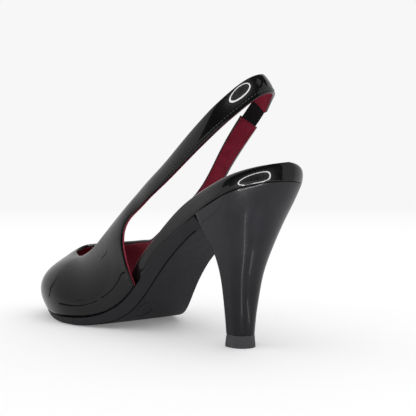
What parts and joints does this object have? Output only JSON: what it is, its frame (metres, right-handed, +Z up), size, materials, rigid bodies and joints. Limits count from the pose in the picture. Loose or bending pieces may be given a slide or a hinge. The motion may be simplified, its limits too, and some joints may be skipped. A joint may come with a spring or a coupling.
{
  "type": "heeled slingback shoe",
  "caption": "High-heeled slingback pump for the left foot: almond-toe vamp with swept-back open sides, a sling strap with an elastic gore, covered insole rim, rubber sole and flared heel.",
  "frame": {"origin": "on the floor under the middle of the shoe's bounding box", "axes": "+X to the toe, +Y to the outer side of the foot, +Z up"},
  "size_m": [0.2366, 0.0886, 0.1525],
  "materials": {
    "patent_leather": "black patent, mirror gloss, red lining",
    "rim_leather": "black patent rim, red sock on top",
    "sole_rubber": "matt black moulded rubber",
    "heel_plastic": "smooth glossy black",
    "tip_rubber": "matt black",
    "elastic": "woven black elastic"
  },
  "bodies": {
    "root": {"upper": "patent_leather", "insole": "rim_leather", "outsole": "sole_rubber", "heel": "heel_plastic", "heel_tip": "tip_rubber", "elastic_gore": "elastic"}
  },
  "joints": []
}
